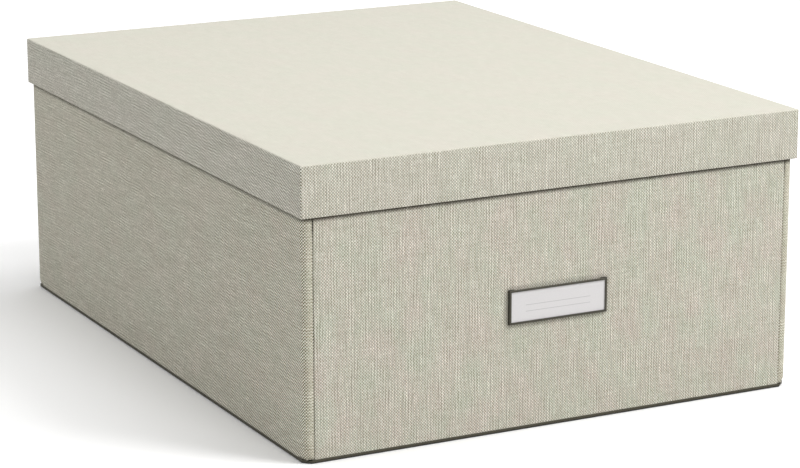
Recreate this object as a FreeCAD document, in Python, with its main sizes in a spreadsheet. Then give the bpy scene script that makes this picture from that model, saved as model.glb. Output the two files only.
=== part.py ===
import FreeCAD, Part
import os
import Sketcher

# A lidded storage box of fibreboard covered with woven canvas.
# The origin is on the ground under the middle of the box, +Z up, the label on the -Y side, lengths in millimetres.

doc = FreeCAD.newDocument("storage_box")
sheet = doc.addObject("Spreadsheet::Sheet", "sizes")

DRIVING_SIZES = [
    # The lid, outside, and how far it stands out past the tray all round.
    ("box_width", 350),
    ("box_depth", 461.5),
    ("box_height", 184),
    ("lid_rim", 32),
    ("overhang", 2),
    # The sheets and boards, by thickness.
    ("cloth", 0.3),
    ("paper", 0.2),
    ("base_sheet", 0.3),
    ("wall_board", 1.8),
    ("base_board", 2),
    ("top_board", 1.8),
    ("rim_board", 1),
    # How far the canvas is turned in past an edge of its board.
    ("turn_in", 12),
    # The tray's corners: the front and rear walls stop short of the sides, where the canvas folds round to the flaps.
    ("panel_inset", 6.5),
    ("corner_fold", 3),
    ("flap_width", 55),
    ("hinge_gap", 0.5),
    # The roundings of the covered edges.
    ("fold_round", 1),
    ("panel_round", 0.8),
    ("lid_round", 1),
    ("rim_round", 0.8),
    ("base_fold", 1),
    # The corners of the base sheet and the small notch beside each.
    ("base_cut_across", 5),
    ("base_cut_along", 4.5),
    ("notch_width", 4.3),
    ("notch_depth", 1.1),
    ("snip", 2.2),
    # The label frame, folded from sheet metal and clenched through the front wall.
    ("frame_width", 69.5),
    ("frame_height", 22),
    ("frame_middle", 80),
    ("frame_bar", 1.4),
    ("frame_metal", 0.5),
    ("frame_lip", 4),
    ("frame_round", 0.3),
    ("prong_width", 5),
    ("prong_length", 6),
    ("prong_metal", 0.4),
    # The card in the frame.
    ("card_thickness", 0.7),
    ("card_play", 0.15),
    ("card_drop", 0.5),
    # The press studs that hold the flaps to the front and rear walls.
    ("snap_edge", 23),
    ("snap_low", 45),
    ("snap_drop", 45),
    ("cap_radius", 6.5),
    ("cap_height", 1.2),
    ("cap_metal", 0.4),
    ("cap_round", 0.5),
    ("barrel_radius", 4),
    ("spring_thickness", 0.8),
    ("spring_inset", 0.2),
    ("post_radius", 1.5),
    ("post_play", 0.2),
    ("post_head", 0.4),
    ("head_length", 0.9),
    ("flange_radius", 5),
    ("flange_metal", 0.4),
]

for row, (alias, value) in enumerate(DRIVING_SIZES, start=1):
    sheet.set("A%d" % row, alias)
    sheet.set("B%d" % row, str(value))
    sheet.setAlias("B%d" % row, alias)
doc.recompute()


def size(alias):
    """The expression that reads one cell of the sheet."""
    return "sizes." + alias


def total(*terms):
    """The sum of expressions, in brackets so that it can be used inside another."""
    return "(" + " + ".join(terms) + ")"


def less(first, *rest):
    """The first expression less the others."""
    return "(" + " - ".join((first,) + rest) + ")"


def minus(term):
    return "(-1 * %s)" % term


def value_of(expression):
    """What an expression comes to now, used to start a sketch near its final shape."""
    return float(sheet.evalExpression(expression))


# Places that several pieces share.

half_width = less(size("box_width") + " / 2", size("overhang"))
half_depth = less(size("box_depth") + " / 2", size("overhang"))
lid_half_width = "(%s / 2)" % size("box_width")
lid_half_depth = "(%s / 2)" % size("box_depth")
floor_top = total(size("base_sheet"), size("base_board"), size("paper"))
tray_top = less(size("box_height"), size("cloth"), size("top_board"), size("paper"))
board_top = less(tray_top, size("cloth"))
liner_top = less(tray_top, size("turn_in"))
rim_bottom = less(size("box_height"), size("lid_rim"))
board_back = total(size("cloth"), size("wall_board"))
panel_depth = total(board_back, size("cloth"))
fold_depth = less(half_depth, panel_depth)
panel_half = less(half_width, size("panel_inset"))
snap_across = less(half_width, less(size("flap_width"), size("snap_edge")))
snap_heights = {"low": size("snap_low"), "high": less(tray_top, size("snap_drop"))}
flap_face = total(board_back, size("paper"))


# Ways of making a piece.

def box(name, across, along, up):
    """A plain block between two places on each axis."""
    piece = doc.addObject("Part::Box", name)
    for side, axis, (low, high) in (("Length", "x", across), ("Width", "y", along), ("Height", "z", up)):
        piece.setExpression(side, less(high, low))
        piece.setExpression("Placement.Base." + axis, low)
    return piece


def both_ways(half):
    """From minus to plus one half-size."""
    return (minus(half), half)


def origin_plane(body, role):
    return [feature for feature in body.Origin.OriginFeatures if feature.Role == role][0]


def sketch_of(body, role, points, offset="0"):
    """A closed outline of straight lines whose corners are bound to expressions."""
    sketch = body.newObject("Sketcher::SketchObject", body.Name + "_outline")
    sketch.AttachmentSupport = (origin_plane(body, role), [""])
    sketch.MapMode = "FlatFace"
    sketch.setExpression("AttachmentOffset.Base.z", offset)
    seeds = [FreeCAD.Vector(value_of(x), value_of(y), 0) for x, y in points]
    for index, seed in enumerate(seeds):
        sketch.addGeometry(Part.LineSegment(seed, seeds[(index + 1) % len(seeds)]), False)
    for index in range(len(seeds)):
        following = (index + 1) % len(seeds)
        sketch.addConstraint(Sketcher.Constraint("Coincident", index, 2, following, 1))
    for index, (x, y) in enumerate(points):
        for kind, expression, seed in (("DistanceX", x, seeds[index].x), ("DistanceY", y, seeds[index].y)):
            number = sketch.addConstraint(Sketcher.Constraint(kind, -1, 1, index, 1, seed))
            sketch.setExpression("Constraints[%d]" % number, expression)
    return sketch


def pad(body, points, low, high):
    """Adds an upright prism on a plan outline to a body."""
    feature = body.newObject("PartDesign::Pad", body.Name + "_pad")
    feature.Profile = sketch_of(body, "XY_Plane", points, low)
    feature.setExpression("Length", less(high, low))
    doc.recompute()
    return feature


def rectangle(across, along):
    return [(across[0], along[0]), (across[1], along[0]), (across[1], along[1]), (across[0], along[1])]


def new_body(name):
    return doc.addObject("PartDesign::Body", name)


def round_edges(body, chosen, radius):
    """Rounds the edges of a body that the test picks out."""
    tip = body.Tip
    names = ["Edge%d" % (index + 1) for index, edge in enumerate(tip.Shape.Edges) if chosen(edge)]
    feature = body.newObject("PartDesign::Fillet", body.Name + "_rounding")
    feature.Base = (tip, names)
    feature.setExpression("Radius", radius)
    doc.recompute()


def is_upright(edge):
    start, end = edge.Vertexes[0].Point, edge.Vertexes[-1].Point
    return abs(start.x - end.x) < TOUCH and abs(start.y - end.y) < TOUCH


def is_level_at(edge, height):
    return all(abs(corner.Z - height) < TOUCH for corner in edge.Vertexes)


def join(kind, name, **links):
    piece = doc.addObject(kind, name)
    for link, target in links.items():
        setattr(piece, link, target)
    doc.recompute()
    return piece


def group(name, pieces):
    return join("Part::Compound", name, Links=pieces)


def cut(name, base, tools):
    """One piece less others."""
    return join("Part::Cut", name, Base=base, Tool=group(name + "_tools", tools))


def fuse(name, pieces):
    return join("Part::MultiFuse", name, Shapes=pieces)


def common(name, base, tool):
    return join("Part::Common", name, Base=base, Tool=tool)


def mirror(name, source, axis):
    """The same piece on the other side of the box: axis X for left and right, Y for front and rear."""
    normal = FreeCAD.Vector(1, 0, 0) if axis == "X" else FreeCAD.Vector(0, 1, 0)
    return join("Part::Mirroring", name, Source=source, Normal=normal)


TOUCH = 0.001


# Base cover. A dark sheet lies under the base board and turns up all round to the level of the floor.

def base_block(name, inset, low, high):
    """A base-sized block with its four corners cut off and its lower edges rounded."""
    across, along = size("base_cut_across"), size("base_cut_along")
    slant = "sqrt(%s ^ 2 + %s ^ 2)" % (across, along)
    width, depth = less(half_width, inset), less(half_depth, inset)
    short_width = less(half_width, across, "%s * (%s - %s) / %s" % (inset, slant, across, along))
    short_depth = less(half_depth, along, "%s * (%s - %s) / %s" % (inset, slant, along, across))
    rear = [(width, short_depth), (short_width, depth), (minus(short_width), depth), (minus(width), short_depth)]
    front = [(x, minus(y)) for x, y in reversed(rear)]
    body = new_body(name)
    pad(body, rear + front, low, high)
    bottom = value_of(low)
    round_edges(body, lambda edge: is_level_at(edge, bottom), less(size("base_fold"), inset))
    return body


base_outside = base_block("base_outside", "0", "0", floor_top)
base_inside = base_block("base_inside", size("base_sheet"), size("base_sheet"), total(floor_top, size("base_sheet")))

# The notch is a wedge that runs front to back through the turned-up edge beside the corner.
notch_middle = less(half_width, size("panel_inset") + " / 2")
notch_half = size("notch_width") + " / 2"
notch_reach = total(size("base_cut_along"), size("base_sheet"))
notch_body = new_body("notch_body")
notch_pad = notch_body.newObject("PartDesign::Pad", "notch_pad")
notch_pad.Profile = sketch_of(
    notch_body,
    "XZ_Plane",
    [
        (minus(total(notch_middle, notch_half)), floor_top),
        (minus(notch_middle), less(floor_top, size("notch_depth"))),
        (minus(less(notch_middle, notch_half)), floor_top),
    ],
    total(half_depth, size("base_sheet")),
)
notch_pad.Reversed = True
notch_pad.setExpression("Length", total(notch_reach, size("base_sheet")))
doc.recompute()
notch_left = group("notch_left", [notch_body, mirror("notch_rear", notch_body, "Y")])
notch_right = mirror("notch_right", notch_left, "X")
cut("base_cover", base_outside, [base_inside, notch_left, notch_right])

# Base board and the paper that lines the floor.

board_edge = total(board_back, size("hinge_gap"))
box(
    "base_board",
    both_ways(less(half_width, board_edge)),
    both_ways(less(half_depth, board_edge)),
    (size("base_sheet"), total(size("base_sheet"), size("base_board"))),
)
box(
    "floor_liner",
    both_ways(less(half_width, board_back)),
    both_ways(less(half_depth, board_back)),
    (total(size("base_sheet"), size("base_board")), floor_top),
)


# The bands of canvas, board and paper on the sides follow one path: flap, corner fold, side, corner fold, flap.

# Each corner is turned in two steps of 45 degrees, so a band's turns move along by this share of its depth.
TURN_SHARE = "tan(22.5 deg)"


def bend_at(depth):
    """How far from the corner a band at this depth turns."""
    return total(size("corner_fold"), "%s * %s" % (depth, TURN_SHARE))


def side_path(depth):
    """The left side's path at a depth behind the outer face of the canvas, from front to rear."""
    flap_end = less(size("flap_width"), half_width)
    side = less(depth, half_width)
    turn = less(bend_at(depth), half_width)
    front = [
        (flap_end, less(depth, fold_depth)),
        (turn, less(depth, fold_depth)),
        (side, less(bend_at(depth), fold_depth)),
    ]
    rear = [(x, minus(y)) for x, y in reversed(front)]
    return front + rear


def side_band(body, outer, inner, low, high):
    pad(body, side_path(outer) + side_path(inner)[::-1], low, high)


def snap_bores(name, radius, near, far):
    """Two holes through the front left corner, one above the other, for the press studs."""
    bores = []
    for level, height in snap_heights.items():
        bore = doc.addObject("Part::Cylinder", "%s_%s" % (name, level))
        bore.setExpression("Radius", radius)
        bore.setExpression("Height", less(near, far))
        bore.Placement = FreeCAD.Placement(FreeCAD.Vector(), FreeCAD.Rotation(FreeCAD.Vector(1, 0, 0), -90))
        bore.setExpression("Placement.Base.x", minus(snap_across))
        bore.setExpression("Placement.Base.y", minus(near))
        bore.setExpression("Placement.Base.z", height)
        bores.append(bore)
    return group(name, bores)


barrel_bores = snap_bores("barrel_bores", size("barrel_radius"), half_depth, less(half_depth, size("flap_width")))
post_bores = snap_bores("post_bores", size("post_radius"), half_depth, less(half_depth, size("flap_width")))
flange_seats = snap_bores(
    "flange_seats",
    size("flange_radius"),
    half_depth,
    less(half_depth, size("cloth"), size("flange_metal")),
)
rear_barrel_bores = mirror("rear_barrel_bores", barrel_bores, "Y")

# Side covers. Each is one sheet that runs from flap to flap round the side and is turned in over the top edge.

side_skin = new_body("side_skin")
side_band(side_skin, "0", size("cloth"), floor_top, tray_top)
round_edges(
    side_skin,
    lambda edge: is_upright(edge) and (
        abs(edge.Vertexes[0].X + value_of(half_width)) < TOUCH
        or abs(edge.Vertexes[0].X + value_of(less(half_width, size("corner_fold")))) < TOUCH
    ),
    size("fold_round"),
)
side_band(side_skin, size("cloth"), board_back, board_top, tray_top)
side_band(side_skin, board_back, total(board_back, size("cloth")), liner_top, tray_top)

# The sheet's lower corner is snipped away at each fold.
snip_body = new_body("snip_body")
pad(
    snip_body,
    [
        (minus(total(half_width, size("cloth"))), minus(total(fold_depth, size("cloth")))),
        (minus(less(half_width, size("corner_fold"))), minus(total(fold_depth, size("cloth")))),
        (minus(total(half_width, size("cloth"))), minus(less(fold_depth, size("corner_fold")))),
    ],
    floor_top,
    total(floor_top, size("snip")),
)
left_side_cover = cut(
    "left_side_cover",
    side_skin,
    [barrel_bores, rear_barrel_bores, snip_body, mirror("snip_rear", snip_body, "Y")],
)
mirror("right_side_cover", left_side_cover, "X")

# Side liners. Paper covers the boards' inner faces from the floor to the turned-in canvas.

side_paper = new_body("side_paper")
side_band(side_paper, board_back, flap_face, floor_top, liner_top)
left_side_liner = cut("left_side_liner", side_paper, [barrel_bores, rear_barrel_bores])
mirror("right_side_liner", left_side_liner, "X")

# Side wall boards, which end where the canvas starts to fold.

board_end = bend_at(board_back)
left_wall_board = box(
    "left_wall_board",
    (less(size("cloth"), half_width), less(board_back, half_width)),
    both_ways(less(fold_depth, board_end)),
    (size("base_fold"), board_top),
)
mirror("right_wall_board", left_wall_board, "X")

# Corner flap boards, which stand on the floor behind the front and rear walls.

flap_block = box(
    "flap_block",
    (less(board_end, half_width), less(size("flap_width"), half_width)),
    (less(size("cloth"), fold_depth), less(board_back, fold_depth)),
    (floor_top, board_top),
)
left_front_flap_board = cut("left_front_flap_board", flap_block, [barrel_bores])
left_rear_flap_board = mirror("left_rear_flap_board", left_front_flap_board, "Y")
mirror("right_front_flap_board", left_front_flap_board, "X")
mirror("right_rear_flap_board", left_rear_flap_board, "X")


# Front and rear walls. The canvas is drawn round the board's side and top edges and turned in on its back.

def wall_block(name, inset, front, back, low, high, rounding):
    """A wall-sized block with its outer upright and top edges rounded."""
    body = new_body(name)
    pad(body, rectangle(both_ways(less(panel_half, inset)), (minus(front), minus(back))), low, high)
    face, summit = -value_of(front), value_of(high)
    round_edges(
        body,
        lambda edge: abs(edge.CenterOfMass.y - face) < TOUCH
        and (is_upright(edge) or is_level_at(edge, summit)),
        rounding,
    )
    return body


board_front = less(half_depth, size("cloth"))
board_rear = less(half_depth, board_back)
core_round = less(size("panel_round"), size("cloth"))
cover_block = wall_block("cover_block", "0", half_depth, fold_depth, floor_top, tray_top, size("panel_round"))
cover_core = wall_block("cover_core", size("cloth"), board_front, board_rear, "0", board_top, core_round)
board_block = wall_block(
    "board_block", size("cloth"), board_front, board_rear, size("base_fold"), board_top, core_round
)
paper_half = less(panel_half, size("turn_in"))
cover_window = box(
    "cover_window",
    both_ways(paper_half),
    (minus(board_rear), minus(fold_depth)),
    ("0", liner_top),
)
right_post_bores = mirror("right_post_bores", post_bores, "X")
right_flange_seats = mirror("right_flange_seats", flange_seats, "X")

plain_cover = cut("plain_cover", cover_block, [cover_core, cover_window])
plain_board = cut(
    "plain_board", board_block, [post_bores, right_post_bores, flange_seats, right_flange_seats]
)
paper_sheet = box(
    "paper_sheet",
    both_ways(paper_half),
    (minus(board_rear), minus(less(board_rear, size("paper")))),
    (floor_top, liner_top),
)
front_wall_liner = cut("front_wall_liner", paper_sheet, [post_bores, right_post_bores])
mirror("rear_wall_liner", front_wall_liner, "Y")
mirror("rear_wall_board", plain_board, "Y")
mirror("rear_cover", plain_cover, "Y")

# Label frame. Sheet metal folded into a channel on the left, right and lower sides, open at the top for the card.

frame_half = "(%s / 2)" % size("frame_width")
frame_low = less(size("frame_middle"), size("frame_height") + " / 2")
frame_high = total(size("frame_middle"), size("frame_height") + " / 2")
channel_depth = total(size("card_thickness"), "2 * " + size("card_play"))
frame_face = total(half_depth, "2 * " + size("frame_metal"), channel_depth)
channel_front = less(frame_face, size("frame_metal"))
channel_back = total(half_depth, size("frame_metal"))
frame_block = new_body("frame_block")
pad(
    frame_block,
    rectangle(both_ways(frame_half), (minus(frame_face), minus(half_depth))),
    frame_low,
    frame_high,
)
round_edges(
    frame_block,
    lambda edge: abs(edge.CenterOfMass.y + value_of(frame_face)) < TOUCH,
    size("frame_round"),
)
frame_window = box(
    "frame_window",
    both_ways(less(frame_half, size("frame_bar"))),
    (minus(total(frame_face, size("frame_metal"))), minus(channel_back)),
    (total(frame_low, size("frame_bar")), less(frame_high, size("frame_bar"))),
)
frame_channel = box(
    "frame_channel",
    both_ways(less(frame_half, size("frame_metal"))),
    (minus(channel_front), minus(channel_back)),
    (total(frame_low, size("frame_metal")), total(frame_high, size("frame_metal"))),
)
frame_back = box(
    "frame_back",
    both_ways(less(frame_half, size("frame_lip"))),
    (minus(channel_front), minus(less(half_depth, size("frame_metal")))),
    (total(frame_low, size("frame_lip")), total(frame_high, size("frame_metal"))),
)
frame_shell = cut("frame_shell", frame_block, [frame_window, frame_channel, frame_back])

# Two prongs go through slots in the canvas and the board and are clenched flat on the board's back.
prong_out = less(frame_half, size("frame_lip") + " / 2", size("prong_metal") + " / 2")
prong_in = total(prong_out, size("prong_metal"))
prong_tip = less(prong_in, size("prong_length"))
prong_rise = (
    less(size("frame_middle"), size("prong_width") + " / 2"),
    total(size("frame_middle"), size("prong_width") + " / 2"),
)
prong_shank = box("prong_shank", (prong_out, prong_in), (minus(half_depth), minus(board_rear)), prong_rise)
prong_foot = box(
    "prong_foot",
    (prong_tip, prong_in),
    (minus(total(board_rear, size("prong_metal"))), minus(board_rear)),
    prong_rise,
)
right_prong = fuse("right_prong", [prong_shank, prong_foot])
left_prong = mirror("left_prong", right_prong, "X")
fuse("label_frame", [frame_shell, right_prong, left_prong])
cut("front_cover", plain_cover, [right_prong, left_prong])
cut("front_wall_board", plain_board, [right_prong, left_prong])

# Label card, which stands on the frame's lower fold and slides out at the top.

box(
    "label_card",
    both_ways(less(frame_half, size("frame_metal"), size("card_play"))),
    (minus(less(channel_front, size("card_play"))), minus(total(channel_back, size("card_play")))),
    (total(frame_low, size("frame_metal")), less(frame_high, size("card_drop"))),
)


# Press studs. A post is set in the front or rear wall, and snaps into a spring inside the cap's barrel.

def at_each_stud(name, outline, rounding=None):
    """One turned piece at each of the eight studs: the outline gives radius and place along Y."""
    pieces = []
    for level, height in snap_heights.items():
        body = new_body("%s_%s" % (name, level))
        turned = body.newObject("PartDesign::Revolution", "%s_%s_turned" % (name, level))
        profile = sketch_of(body, "XY_Plane", outline)
        turned.Profile = profile
        turned.ReferenceAxis = (profile, ["V_Axis"])
        turned.Angle = 360
        doc.recompute()
        if rounding:
            round_edges(body, *rounding)
        body.setExpression("Placement.Base.x", minus(snap_across))
        body.setExpression("Placement.Base.z", height)
        pieces.append(body)
    left = group(name + "_left_front", pieces)
    front = group(name + "_front", [left, mirror(name + "_right_front", left, "X")])
    group(name, [front, mirror(name + "_rear", front, "Y")])


flap_inside = less(fold_depth, flap_face)
cap_top = less(flap_inside, size("cap_height"))
barrel_end = less(fold_depth, size("spring_inset") + " / 2")
barrel_hole = less(size("barrel_radius"), size("cap_metal"))
at_each_stud(
    "snap_caps",
    [
        ("0", minus(total(cap_top, size("cap_metal")))),
        (barrel_hole, minus(total(cap_top, size("cap_metal")))),
        (barrel_hole, minus(barrel_end)),
        (size("barrel_radius"), minus(barrel_end)),
        (size("barrel_radius"), minus(flap_inside)),
        (size("cap_radius"), minus(flap_inside)),
        (size("cap_radius"), minus(cap_top)),
        ("0", minus(cap_top)),
    ],
    (
        lambda edge: abs(edge.BoundBox.YMin + value_of(cap_top)) < TOUCH
        and abs(edge.BoundBox.YMax + value_of(cap_top)) < TOUCH
        and edge.Length > value_of(size("cap_radius")),
        size("cap_round"),
    ),
)

spring_hole = total(size("post_radius"), size("post_play"))
spring_front = less(fold_depth, size("spring_inset"))
spring_back = less(spring_front, size("spring_thickness"))
at_each_stud(
    "snap_springs",
    [
        (spring_hole, minus(spring_front)),
        (barrel_hole, minus(spring_front)),
        (barrel_hole, minus(spring_back)),
        (spring_hole, minus(spring_back)),
    ],
)

head_radius = total(size("post_radius"), size("post_head"))
head_start = less(spring_back, size("post_play") + " / 2")
head_end = less(head_start, size("head_length"))
at_each_stud(
    "snap_posts",
    [
        ("0", minus(board_front)),
        (size("flange_radius"), minus(board_front)),
        (size("flange_radius"), minus(less(board_front, size("flange_metal")))),
        (size("post_radius"), minus(less(board_front, size("flange_metal")))),
        (size("post_radius"), minus(head_start)),
        (head_radius, minus(less(head_start, size("post_head") + " / 2"))),
        (head_radius, minus(total(head_end, size("post_head")))),
        (size("post_radius"), minus(head_end)),
        ("0", minus(head_end)),
    ],
)


# Lid. Boards for the top and the four rims are held in a canvas cover that is turned in under the rim.

def lid_block(name, inset, low, high, rounding, low_rounding):
    """A lid-sized block with rounded upright corners, top edges and lower edges."""
    body = new_body(name)
    across = both_ways(less(lid_half_width, inset))
    along = both_ways(less(lid_half_depth, inset))
    pad(body, rectangle(across, along), low, high)
    bottom, summit = value_of(low), value_of(high)
    round_edges(body, lambda edge: is_upright(edge) or is_level_at(edge, summit), rounding)
    round_edges(body, lambda edge: is_level_at(edge, bottom), low_rounding)
    return body


lid_boards_top = less(size("box_height"), size("cloth"))
top_board_under = less(lid_boards_top, size("top_board"))
rim_board_low = total(rim_bottom, size("cloth"))
lid_turn_top = total(rim_bottom, size("turn_in"))
lid_block_outer = lid_block(
    "lid_block_outer", "0", rim_bottom, size("box_height"), size("lid_round"), size("rim_round")
)
lid_core = lid_block(
    "lid_core",
    size("cloth"),
    rim_board_low,
    lid_boards_top,
    less(size("lid_round"), size("cloth")),
    less(size("rim_round"), size("cloth")),
)
rim_back = total(size("cloth"), size("rim_board"))
rim_inside = total(rim_back, size("cloth"))
lid_mouth = box(
    "lid_mouth",
    both_ways(less(lid_half_width, rim_inside)),
    both_ways(less(lid_half_depth, rim_inside)),
    (less(rim_bottom, size("cloth")), lid_turn_top),
)
turned_block = box(
    "turned_block",
    both_ways(less(lid_half_width, rim_back)),
    both_ways(less(lid_half_depth, rim_back)),
    (rim_board_low, lid_turn_top),
)
lid_skin = cut("lid_skin", lid_block_outer, [lid_core, lid_mouth])
turned_ring = cut("turned_ring", turned_block, [lid_mouth])
fuse("lid_cover", [lid_skin, turned_ring])

top_block = box(
    "top_block",
    both_ways(lid_half_width),
    both_ways(lid_half_depth),
    (top_board_under, size("box_height")),
)
common("lid_top_board", top_block, lid_core)
front_rim_block = box(
    "front_rim_block",
    both_ways(lid_half_width),
    (minus(lid_half_depth), minus(less(lid_half_depth, rim_back))),
    (rim_bottom, top_board_under),
)
left_rim_block = box(
    "left_rim_block",
    (minus(lid_half_width), minus(less(lid_half_width, rim_back))),
    both_ways(less(lid_half_depth, rim_back)),
    (rim_bottom, top_board_under),
)
lid_front_rim_board = common("lid_front_rim_board", front_rim_block, lid_core)
lid_left_rim_board = common("lid_left_rim_board", left_rim_block, lid_core)
mirror("lid_rear_rim_board", lid_front_rim_board, "Y")
mirror("lid_right_rim_board", lid_left_rim_board, "X")

# Lid liner. Paper lines the lid's inside down to the turned-in canvas.

liner_block = box(
    "liner_block",
    both_ways(less(lid_half_width, rim_back)),
    both_ways(less(lid_half_depth, rim_back)),
    (lid_turn_top, top_board_under),
)
liner_void = box(
    "liner_void",
    both_ways(less(lid_half_width, rim_back, size("paper"))),
    both_ways(less(lid_half_depth, rim_back, size("paper"))),
    (rim_bottom, less(top_board_under, size("paper"))),
)
cut("lid_liner", liner_block, [liner_void])

doc.recompute()

# Every piece. The press studs' three kinds of piece are in one node each, and every other node is one solid.

SINGLE_PIECES = [
    "base_cover",
    "base_board",
    "floor_liner",
    "front_wall_board",
    "rear_wall_board",
    "left_wall_board",
    "right_wall_board",
    "left_front_flap_board",
    "left_rear_flap_board",
    "right_front_flap_board",
    "right_rear_flap_board",
    "front_cover",
    "rear_cover",
    "left_side_cover",
    "right_side_cover",
    "front_wall_liner",
    "rear_wall_liner",
    "left_side_liner",
    "right_side_liner",
    "label_frame",
    "label_card",
    "lid_cover",
    "lid_top_board",
    "lid_front_rim_board",
    "lid_rear_rim_board",
    "lid_left_rim_board",
    "lid_right_rim_board",
    "lid_liner",
]
STUD_PIECES = ["snap_caps", "snap_springs", "snap_posts"]
CORNERS = ["left_front", "right_front", "left_rear", "right_rear"]

for item in doc.Objects:
    if "Invalid" in item.State or "Error" in item.State:
        raise RuntimeError("%s failed: %s" % (item.Label, item.State))

shapes = {}
for label in SINGLE_PIECES + STUD_PIECES:
    shape = doc.getObjectsByLabel(label)[0].Shape
    if shape.isNull() or not shape.isValid():
        raise RuntimeError(label + " has no valid shape")
    expected = len(CORNERS) * len(snap_heights) if label in STUD_PIECES else 1
    if len(shape.Solids) != expected:
        raise RuntimeError("%s has %d solids, not %d" % (label, len(shape.Solids), expected))
    shapes[label] = Part.makeCompound(shape.Solids) if label in STUD_PIECES else shape.Solids[0]

os.makedirs("parts", exist_ok=True)
for label, shape in shapes.items():
    shape.exportStep("parts/%s.step" % label)
    bounds = shape.BoundBox
    print(
        "%-24s %9.1f mm3  x %8.2f %8.2f  y %8.2f %8.2f  z %7.2f %7.2f"
        % (label, shape.Volume, bounds.XMin, bounds.XMax, bounds.YMin, bounds.YMax, bounds.ZMin, bounds.ZMax)
    )
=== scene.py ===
import math

import bpy
from mathutils import Matrix, Vector, noise


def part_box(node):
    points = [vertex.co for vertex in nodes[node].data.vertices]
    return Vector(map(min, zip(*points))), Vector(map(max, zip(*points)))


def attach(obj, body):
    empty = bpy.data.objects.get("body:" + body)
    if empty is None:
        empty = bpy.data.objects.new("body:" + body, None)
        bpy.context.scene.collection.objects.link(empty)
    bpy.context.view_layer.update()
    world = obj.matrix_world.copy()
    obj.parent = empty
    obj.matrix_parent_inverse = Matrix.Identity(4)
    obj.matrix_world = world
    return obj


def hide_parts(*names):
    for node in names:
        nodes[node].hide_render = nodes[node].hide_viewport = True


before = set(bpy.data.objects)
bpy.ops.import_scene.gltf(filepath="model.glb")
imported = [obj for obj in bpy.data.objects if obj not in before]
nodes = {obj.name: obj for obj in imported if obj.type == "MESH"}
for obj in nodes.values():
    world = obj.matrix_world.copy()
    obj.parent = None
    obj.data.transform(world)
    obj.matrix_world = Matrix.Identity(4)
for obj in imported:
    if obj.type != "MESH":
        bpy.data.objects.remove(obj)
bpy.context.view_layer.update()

# Base cover. A thin dark paper laminate is glued under the base board and turned up round its edge.
# It is calendered paper, faintly fibrous. Its lowest millimetre along the fold that the box stands on is
# painted almost black, a little unevenly, as painted contact shadow.


def shade(tree, kind, inputs=None, **settings):
    """Adds one shader node; an input is a number, a colour or another node's socket."""
    made = tree.nodes.new("ShaderNode" + kind)
    for name, value in settings.items():
        setattr(made, name, value)
    for name, value in (inputs or {}).items():
        if isinstance(value, bpy.types.NodeSocket):
            tree.links.new(value, made.inputs[name])
        else:
            made.inputs[name].default_value = value
    return made


def maths(tree, operation, *values):
    return shade(tree, "Math", dict(enumerate(values)), operation=operation).outputs[0]


def mixed(tree, share, first, second):
    """A colour between two others."""
    return shade(tree, "Mix", {0: share, 6: first, 7: second}, data_type="RGBA").outputs[2]


def mottle(tree, place, scale, detail=2.0, roughness=0.5):
    """Soft noise from 0 to 1 round a half."""
    inputs = {"Vector": place, "Scale": scale, "Detail": detail, "Roughness": roughness}
    return shade(tree, "TexNoise", inputs).outputs["Fac"]


def stretched(tree, place, sizes):
    return shade(tree, "Mapping", {"Vector": place, "Scale": sizes}).outputs[0]


def spread(tree, value, low, high, start=0.0, end=1.0):
    """Takes a value that runs from low to high to the range from start to end."""
    inputs = {0: value, 1: low, 2: high, 3: start, 4: end}
    return shade(tree, "MapRange", inputs, clamp=True).outputs[0]


def colour(red, green, blue):
    """A colour as it shows on a screen, from 0 to 255, as the light it stands for."""
    shares = [value / 255 for value in (red, green, blue)]
    return tuple(s / 12.92 if s <= 0.04045 else ((s + 0.055) / 1.055) ** 2.4 for s in shares) + (1.0,)


def new_finish(name, roughness, **sockets):
    """A material with its shader, ready for colour, roughness and relief."""
    finish = bpy.data.materials.new(name)
    finish.use_nodes = True
    tree = finish.node_tree
    shader = next(item for item in tree.nodes if item.type == "BSDF_PRINCIPLED")
    shader.inputs["Roughness"].default_value = roughness
    for socket, value in sockets.items():
        shader.inputs[socket.replace("_", " ")].default_value = value
    return finish, tree, shader


def set_relief(tree, shader, height, depth, strength=1.0):
    relief = shade(tree, "Bump", {"Height": height, "Distance": depth, "Strength": strength})
    tree.links.new(relief.outputs[0], shader.inputs["Normal"])


def object_place(tree):
    return shade(tree, "TexCoord").outputs["Object"]


def paint(finish, *names):
    """Gives CAD pieces their finish."""
    for name in names:
        mesh = nodes[name].data
        mesh.materials.clear()
        mesh.materials.append(finish)


dark_paper, tree, shader = new_finish("dark base paper", 0.62, Specular_IOR_Level=0.4)
place = object_place(tree)
fibres = mottle(tree, stretched(tree, place, (900, 900, 1500)), 1.0, 3.0, 0.6)
clouds = mottle(tree, place, 45.0, 2.0)
height_up = shade(tree, "SeparateXYZ", {0: place}).outputs[2]
# Painted contact shadow: the lowest millimetre of the fold is darkened.
standing = spread(tree, height_up, 0.0006, 0.0014, 1.0, 0.0)
contact_shade = maths(tree, "MULTIPLY", standing, spread(tree, clouds, 0.2, 0.6, 0.7, 1.0))
body_tone = mixed(tree, spread(tree, fibres, 0.3, 0.7), colour(58, 55, 43), colour(76, 73, 58))
tree.links.new(mixed(tree, contact_shade, body_tone, colour(26, 24, 19)), shader.inputs["Base Color"])
set_relief(tree, shader, fibres, 0.00005)
paint(dark_paper, "base_cover")

# Boards. The base, the four walls and the corner flaps are die-cut from grey fibreboard.
# Pressed recycled pulp, with pale and dark fibres, slightly rough where it is cut. Below about 2.5 mm the
# board
# is painted almost black: painted shade in the notches at the box's lowest corners, where the base board's
# edge shows.

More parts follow.
